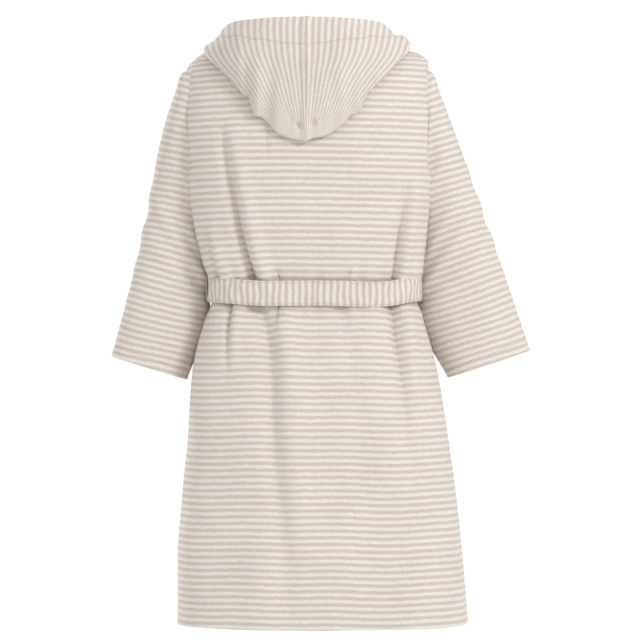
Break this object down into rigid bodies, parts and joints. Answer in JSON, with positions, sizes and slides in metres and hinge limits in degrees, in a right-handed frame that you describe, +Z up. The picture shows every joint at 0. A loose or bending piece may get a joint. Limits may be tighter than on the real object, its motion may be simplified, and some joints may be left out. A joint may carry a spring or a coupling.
{
  "type": "hooded bathrobe",
  "caption": "Hooded terry bathrobe in worn shape: wrap-over fronts, hood lying on the back, long sleeves, patch pockets and a tied waist belt.",
  "frame": {"origin": "middle of the hanging loop's bearing face, at the nape inside the neckline", "axes": "+Z up, the wearer faces -Y so the back panel and hood are on the +Y side, +X is the wearer's left"},
  "size_m": [0.842, 0.3468, 1.2103],
  "materials": {
    "striped_terry": "ivory and beige yarn-dyed striped terry, soft matt pile",
    "belt_terry": "the same striped terry, folded double and stitched along its edges",
    "woven_tape": "ivory twill tape, matt",
    "label_satin": "blank white woven satin, slight sheen"
  },
  "bodies": {
    "robe": {"back_panel": "striped_terry", "right_front_panel": "striped_terry", "left_front_upper": "striped_terry", "right_front_facing": "striped_terry", "left_front_facing": "striped_terry", "neck_tape": "woven_tape", "hanging_loop": "striped_terry", "size_label": "label_satin", "care_label": "label_satin", "belt_waist_band": "belt_terry", "belt_knot": "belt_terry", "left_belt_loop": "striped_terry", "right_belt_loop": "striped_terry", "right_pocket": "striped_terry"},
    "left_sleeve": {"left_sleeve": "striped_terry"},
    "right_sleeve": {"right_sleeve": "striped_terry"},
    "hood": {"hood_left_half": "striped_terry", "hood_right_half": "striped_terry", "hood_seam_tape": "woven_tape"},
    "left_skirt": {"left_front_skirt": "striped_terry", "left_skirt_facing": "striped_terry", "left_pocket": "striped_terry"},
    "belt_end_left": {"belt_tail_left": "belt_terry"},
    "belt_end_right": {"belt_tail_right": "belt_terry"}
  },
  "joints": [
    {"name": "left_shoulder", "type": "hinge", "parent": "robe", "child": "left_sleeve", "pos_m": [0.247, -0.055, -0.036], "axis": [0, -1, 0], "range_deg": [0, 40]},
    {"name": "right_shoulder", "type": "hinge", "parent": "robe", "child": "right_sleeve", "pos_m": [-0.233, -0.055, -0.036], "axis": [0, 1, 0], "range_deg": [0, 40]},
    {"name": "hood_lift", "type": "hinge", "parent": "robe", "child": "hood", "pos_m": [0, -0.16, -0.06], "axis": [1, 0, 0], "range_deg": [0, 35]},
    {"name": "front_opening", "type": "hinge", "parent": "robe", "child": "left_skirt", "pos_m": [0.246, -0.055, -0.8], "axis": [-0.0855, 0, 0.9963], "range_deg": [0, 20]},
    {"name": "left_belt_end", "type": "hinge", "parent": "robe", "child": "belt_end_left", "pos_m": [-0.083, -0.209, -0.514], "axis": [-1, 0, 0], "range_deg": [0, 60]},
    {"name": "right_belt_end", "type": "hinge", "parent": "robe", "child": "belt_end_right", "pos_m": [-0.129, -0.209, -0.514], "axis": [-1, 0, 0], "range_deg": [0, 60]}
  ]
}
